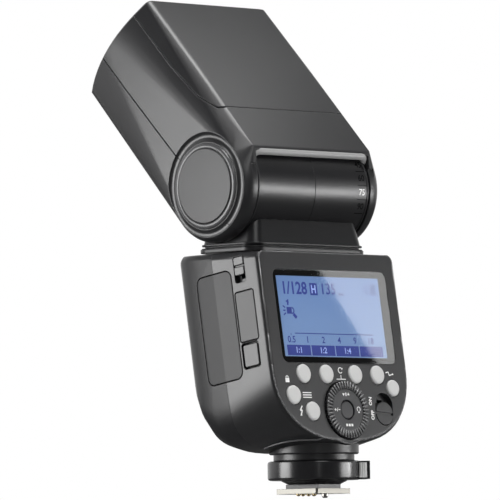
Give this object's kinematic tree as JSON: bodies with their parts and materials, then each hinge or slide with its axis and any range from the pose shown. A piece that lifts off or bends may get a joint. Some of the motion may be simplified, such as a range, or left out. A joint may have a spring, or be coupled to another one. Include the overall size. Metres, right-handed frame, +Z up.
{
  "type": "speedlight flash",
  "caption": "Camera-top flash with a leaning body, rear display and dial, a swivelling neck, a tilting zoom head and a locking shoe foot.",
  "frame": {"origin": "underside of the shoe plate, on the foot's own axis", "axes": "+Z up along the swivel axis, +Y towards the subject, the display faces -Y, +X to the right seen from behind"},
  "size_m": [0.0764, 0.1083, 0.1924],
  "materials": {
    "body_plastic": "fine-grained black moulding",
    "head_plastic": "fine-grained black moulding",
    "drum_plastic": "satin black moulding",
    "ring_plastic": "glossy black moulding",
    "button_plastic": "light grey",
    "dark_rubber": "soft black rubber",
    "inner_plastic": "plain inner moulding",
    "display_glass": "clear display window",
    "display": "backlit blue display",
    "circuit_board": "green lacquered board",
    "capacitor_sleeve": "shrink sleeve",
    "contact_gold": "gold-plated",
    "steel": "brushed steel",
    "bright_trim": "bright edge",
    "red_window": "deep red window",
    "lamp_window": "frosted lamp window",
    "lens_plastic": "clear ribbed lens",
    "reflector_metal": "polished reflector",
    "tube_glass": "clear flash tube",
    "white_card": "white card"
  },
  "bodies": {
    "body": {"rear_housing": "body_plastic", "front_housing": "body_plastic", "display_window": "display_glass", "display_panel": "display", "main_board": "circuit_board", "main_capacitor": "capacitor_sleeve", "battery_bay": "inner_plastic", "battery_contacts": "contact_gold", "socket_block": "inner_plastic", "swivel_bush": "steel", "assist_window": "red_window", "modelling_lamp": "lamp_window", "slave_sensor": "red_window", "foot_block": "body_plastic", "shoe_plate": "steel", "foot_screws": "steel"},
    "battery": {"battery_pack": "body_plastic", "battery_cap": "body_plastic"},
    "neck": {"swivel_plate": "ring_plastic", "swivel_tube": "steel", "swivel_clip": "steel", "neck_cover": "head_plastic", "hinge_bracket": "steel", "hinge_shaft": "steel", "drum_left": "drum_plastic", "drum_right": "drum_plastic"},
    "head": {"head_top_shell": "head_plastic", "head_bottom_shell": "head_plastic", "head_top_cover": "head_plastic", "hinge_cap_left": "head_plastic", "hinge_cap_right": "head_plastic", "cap_rings": "bright_trim", "front_bezel": "inner_plastic", "fresnel_lens": "lens_plastic", "zoom_motor": "steel", "guide_rods": "steel"},
    "zoom": {"zoom_carriage": "reflector_metal", "flash_tube": "tube_glass"},
    "battery_release": {"battery_release": "body_plastic"},
    "socket_cover": {"socket_cover": "dark_rubber"},
    "mode_slider": {"mode_slider": "drum_plastic"},
    "function_button_1": {"function_button_1": "button_plastic"},
    "function_button_2": {"function_button_2": "button_plastic"},
    "function_button_3": {"function_button_3": "button_plastic"},
    "function_button_4": {"function_button_4": "button_plastic"},
    "menu_button": {"menu_button": "button_plastic"},
    "test_button": {"test_button": "button_plastic"},
    "wireless_button": {"wireless_button": "button_plastic"},
    "power_switch": {"power_switch": "drum_plastic"},
    "dial_ring": {"dial_ring": "drum_plastic"},
    "pad_carrier": {"pad_carrier": "inner_plastic"},
    "dial_pad": {"dial_pad": "dark_rubber"},
    "set_button": {"set_button": "dark_rubber"},
    "lock_ring": {"lock_ring": "ring_plastic"},
    "lock_button": {"lock_button": "button_plastic"},
    "lock_pin": {"lock_pin": "steel"},
    "contact_pins": {"contact_pins": "contact_gold"},
    "lead_screw": {"lead_screw": "steel"},
    "wide_panel": {"wide_panel": "lens_plastic"},
    "bounce_card": {"bounce_card": "white_card"}
  },
  "joints": [
    {"name": "neck_swivel", "type": "hinge", "parent": "body", "child": "neck", "pos_m": [0, 0.0176, 0.0945], "axis": [0, 0, 1], "range_deg": [-150, 180]},
    {"name": "head_tilt", "type": "hinge", "parent": "neck", "child": "head", "pos_m": [0, 0.0189, 0.117], "axis": [1, 0, 0], "range_deg": [-52, 45]},
    {"name": "zoom_travel", "type": "slide", "parent": "head", "child": "zoom", "axis": [0, 0.7071, 0.7071], "range_m": [-0.006, 0.013]},
    {"name": "lead_screw_turn", "type": "hinge", "parent": "head", "child": "lead_screw", "pos_m": [0.0265, 0.06981, 0.15094], "axis": [0, 0.7071, 0.7071], "range_deg": [-440, 945]},
    {"name": "wide_panel_slide", "type": "slide", "parent": "head", "child": "wide_panel", "axis": [0, 0.7071, 0.7071], "range_m": [0, 0.04]},
    {"name": "bounce_card_slide", "type": "slide", "parent": "head", "child": "bounce_card", "axis": [0, 0.7071, 0.7071], "range_m": [0, 0.04]},
    {"name": "battery_slide", "type": "slide", "parent": "body", "child": "battery", "axis": [-1, 0, 0], "range_m": [0, 0.064]},
    {"name": "battery_release_press", "type": "slide", "parent": "body", "child": "battery_release", "axis": [1, 0, 0], "range_m": [0, 0.0005], "stiffness_N_per_m": 600, "springref_m": -0.0008},
    {"name": "socket_cover_hinge", "type": "hinge", "parent": "body", "child": "socket_cover", "pos_m": [-0.0375, 0.00223, 0.06624], "axis": [0, -0.153, -0.9882], "range_deg": [0, 95]},
    {"name": "mode_slide", "type": "slide", "parent": "body", "child": "mode_slider", "axis": [0, -0.153, -0.9882], "range_m": [0, 0.0026]},
    {"name": "function_button_1_press", "type": "slide", "parent": "body", "child": "function_button_1", "axis": [0, 0.9882, -0.153], "range_m": [0, 0.0006], "stiffness_N_per_m": 600, "springref_m": -0.0008},
    {"name": "function_button_2_press", "type": "slide", "parent": "body", "child": "function_button_2", "axis": [0, 0.9882, -0.153], "range_m": [0, 0.0006], "stiffness_N_per_m": 600, "springref_m": -0.0008},
    {"name": "function_button_3_press", "type": "slide", "parent": "body", "child": "function_button_3", "axis": [0, 0.9882, -0.153], "range_m": [0, 0.0006], "stiffness_N_per_m": 600, "springref_m": -0.0008},
    {"name": "function_button_4_press", "type": "slide", "parent": "body", "child": "function_button_4", "axis": [0, 0.9882, -0.153], "range_m": [0, 0.0006], "stiffness_N_per_m": 600, "springref_m": -0.0008},
    {"name": "menu_button_press", "type": "slide", "parent": "body", "child": "menu_button", "axis": [0, 0.9882, -0.153], "range_m": [0, 0.0006], "stiffness_N_per_m": 600, "springref_m": -0.0008},
    {"name": "test_button_press", "type": "slide", "parent": "body", "child": "test_button", "axis": [0, 0.9882, -0.153], "range_m": [0, 0.0006], "stiffness_N_per_m": 600, "springref_m": -0.0008},
    {"name": "wireless_button_press", "type": "slide", "parent": "body", "child": "wireless_button", "axis": [0, 0.9882, -0.153], "range_m": [0, 0.0006], "stiffness_N_per_m": 600, "springref_m": -0.0008},
    {"name": "power_slide", "type": "slide", "parent": "body", "child": "power_switch", "axis": [0.0872, 0.1524, 0.9845], "range_m": [0, 0.0034]},
    {"name": "dial_turn", "type": "hinge", "parent": "body", "child": "dial_ring", "pos_m": [0.0004, -0.01703, 0.03137], "axis": [0, 0.9882, -0.153], "continuous": true},
    {"name": "pad_rock_sideways", "type": "hinge", "parent": "body", "child": "pad_carrier", "pos_m": [0.0004, -0.01555, 0.03114], "axis": [0, 0.153, 0.9882], "range_deg": [-2, 2], "stiffness_Nm_per_rad": 0.2},
    {"name": "pad_rock_up_down", "type": "hinge", "parent": "pad_carrier", "child": "dial_pad", "pos_m": [0.0004, -0.01555, 0.03114], "axis": [1, 0, 0], "range_deg": [-2, 2], "stiffness_Nm_per_rad": 0.2},
    {"name": "set_button_press", "type": "slide", "parent": "dial_pad", "child": "set_button", "axis": [0, 0.9882, -0.153], "range_m": [0, 0.0005], "stiffness_N_per_m": 600, "springref_m": -0.0008},
    {"name": "lock_ring_turn", "type": "hinge", "parent": "body", "child": "lock_ring", "pos_m": [0, 0, 0.0088], "axis": [0, 0, 1], "range_deg": [0, 60]},
    {"name": "lock_button_press", "type": "slide", "parent": "lock_ring", "child": "lock_button", "axis": [0.5878, 0.809, 0], "range_m": [0, 0.0009], "stiffness_N_per_m": 600, "springref_m": -0.0008},
    {"name": "lock_pin_travel", "type": "slide", "parent": "body", "child": "lock_pin", "axis": [0, 0, 1], "range_m": [0, 0.0017]},
    {"name": "contact_pins_press", "type": "slide", "parent": "body", "child": "contact_pins", "axis": [0, 0, 1], "range_m": [0, 0.0008], "stiffness_N_per_m": 800, "springref_m": -0.001}
  ],
  "couplings": [
    {"joint": "lead_screw_turn", "follows": "zoom_travel", "rad_per_m": 1256.6},
    {"joint": "lock_pin_travel", "follows": "lock_ring_turn", "m_per_rad": 0.0016234}
  ]
}
